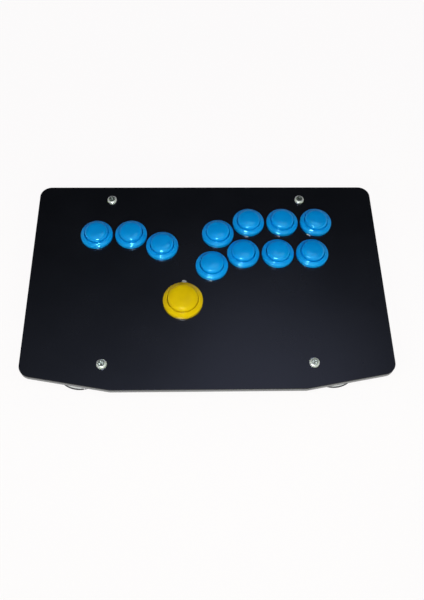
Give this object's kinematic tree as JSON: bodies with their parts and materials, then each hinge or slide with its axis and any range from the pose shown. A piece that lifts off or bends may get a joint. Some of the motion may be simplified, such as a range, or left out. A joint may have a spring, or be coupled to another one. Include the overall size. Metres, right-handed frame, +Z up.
{
  "type": "arcade button controller",
  "caption": "Flat arcade control panel on a shallow case, with snap-in push buttons in place of a stick, screwed together at the corners and standing on suction cups.",
  "frame": {"origin": "on the table, under the middle of the panel's bounding box", "axes": "+X to the player's right, +Y away from the player, +Z up"},
  "size_m": [0.301, 0.1966, 0.0647],
  "materials": {
    "blue_plastic": "gloss",
    "yellow_plastic": "gloss",
    "face_sheet": "satin black film with a fine texture",
    "plate": "frosted grey cut edge",
    "case": "fine-textured black powder coat",
    "screw_steel": "bright zinc",
    "cup_rubber": "clear soft vinyl",
    "switch": "matt",
    "board": "solder-mask green",
    "socket": "satin",
    "signal_wire": "satin",
    "ground_wire": "satin",
    "lead": "satin"
  },
  "bodies": {
    "panel": {"move_left_housing": "blue_plastic", "move_left_switch": "switch", "move_down_housing": "blue_plastic", "move_down_switch": "switch", "move_right_housing": "blue_plastic", "move_right_switch": "switch", "jump_housing": "yellow_plastic", "jump_switch": "switch", "action_1_1_housing": "blue_plastic", "action_1_1_switch": "switch", "action_1_2_housing": "blue_plastic", "action_1_2_switch": "switch", "action_1_3_housing": "blue_plastic", "action_1_3_switch": "switch", "action_1_4_housing": "blue_plastic", "action_1_4_switch": "switch", "action_2_1_housing": "blue_plastic", "action_2_1_switch": "switch", "action_2_2_housing": "blue_plastic", "action_2_2_switch": "switch", "action_2_3_housing": "blue_plastic", "action_2_3_switch": "switch", "action_2_4_housing": "blue_plastic", "action_2_4_switch": "switch", "face_sheet": "face_sheet", "top_plate": "plate", "case_tray": "case", "front_left_panel_screw": "screw_steel", "front_left_panel_nut": "screw_steel", "front_left_suction_cup": "cup_rubber", "front_left_cup_screw": "screw_steel", "front_right_panel_screw": "screw_steel", "front_right_panel_nut": "screw_steel", "front_right_suction_cup": "cup_rubber", "front_right_cup_screw": "screw_steel", "rear_left_panel_screw": "screw_steel", "rear_left_panel_nut": "screw_steel", "rear_left_suction_cup": "cup_rubber", "rear_left_cup_screw": "screw_steel", "rear_right_panel_screw": "screw_steel", "rear_right_panel_nut": "screw_steel", "rear_right_suction_cup": "cup_rubber", "rear_right_cup_screw": "screw_steel", "encoder_board": "board", "usb_socket": "socket", "usb_lead": "lead", "signal_loom": "signal_wire", "ground_chain": "ground_wire"},
    "move_left_button": {"move_left_plunger": "blue_plastic"},
    "move_down_button": {"move_down_plunger": "blue_plastic"},
    "move_right_button": {"move_right_plunger": "blue_plastic"},
    "jump_button": {"jump_plunger": "yellow_plastic"},
    "action_1_1_button": {"action_1_1_plunger": "blue_plastic"},
    "action_1_2_button": {"action_1_2_plunger": "blue_plastic"},
    "action_1_3_button": {"action_1_3_plunger": "blue_plastic"},
    "action_1_4_button": {"action_1_4_plunger": "blue_plastic"},
    "action_2_1_button": {"action_2_1_plunger": "blue_plastic"},
    "action_2_2_button": {"action_2_2_plunger": "blue_plastic"},
    "action_2_3_button": {"action_2_3_plunger": "blue_plastic"},
    "action_2_4_button": {"action_2_4_plunger": "blue_plastic"}
  },
  "joints": [
    {"name": "move_left_press", "type": "slide", "parent": "panel", "child": "move_left_button", "axis": [0, 0, -1], "range_m": [0, 0.003], "stiffness_N_per_m": 150, "springref_m": -0.002},
    {"name": "move_down_press", "type": "slide", "parent": "panel", "child": "move_down_button", "axis": [0, 0, -1], "range_m": [0, 0.003], "stiffness_N_per_m": 150, "springref_m": -0.002},
    {"name": "move_right_press", "type": "slide", "parent": "panel", "child": "move_right_button", "axis": [0, 0, -1], "range_m": [0, 0.003], "stiffness_N_per_m": 150, "springref_m": -0.002},
    {"name": "jump_press", "type": "slide", "parent": "panel", "child": "jump_button", "axis": [0, 0, -1], "range_m": [0, 0.003], "stiffness_N_per_m": 150, "springref_m": -0.002},
    {"name": "action_1_1_press", "type": "slide", "parent": "panel", "child": "action_1_1_button", "axis": [0, 0, -1], "range_m": [0, 0.003], "stiffness_N_per_m": 150, "springref_m": -0.002},
    {"name": "action_1_2_press", "type": "slide", "parent": "panel", "child": "action_1_2_button", "axis": [0, 0, -1], "range_m": [0, 0.003], "stiffness_N_per_m": 150, "springref_m": -0.002},
    {"name": "action_1_3_press", "type": "slide", "parent": "panel", "child": "action_1_3_button", "axis": [0, 0, -1], "range_m": [0, 0.003], "stiffness_N_per_m": 150, "springref_m": -0.002},
    {"name": "action_1_4_press", "type": "slide", "parent": "panel", "child": "action_1_4_button", "axis": [0, 0, -1], "range_m": [0, 0.003], "stiffness_N_per_m": 150, "springref_m": -0.002},
    {"name": "action_2_1_press", "type": "slide", "parent": "panel", "child": "action_2_1_button", "axis": [0, 0, -1], "range_m": [0, 0.003], "stiffness_N_per_m": 150, "springref_m": -0.002},
    {"name": "action_2_2_press", "type": "slide", "parent": "panel", "child": "action_2_2_button", "axis": [0, 0, -1], "range_m": [0, 0.003], "stiffness_N_per_m": 150, "springref_m": -0.002},
    {"name": "action_2_3_press", "type": "slide", "parent": "panel", "child": "action_2_3_button", "axis": [0, 0, -1], "range_m": [0, 0.003], "stiffness_N_per_m": 150, "springref_m": -0.002},
    {"name": "action_2_4_press", "type": "slide", "parent": "panel", "child": "action_2_4_button", "axis": [0, 0, -1], "range_m": [0, 0.003], "stiffness_N_per_m": 150, "springref_m": -0.002}
  ]
}
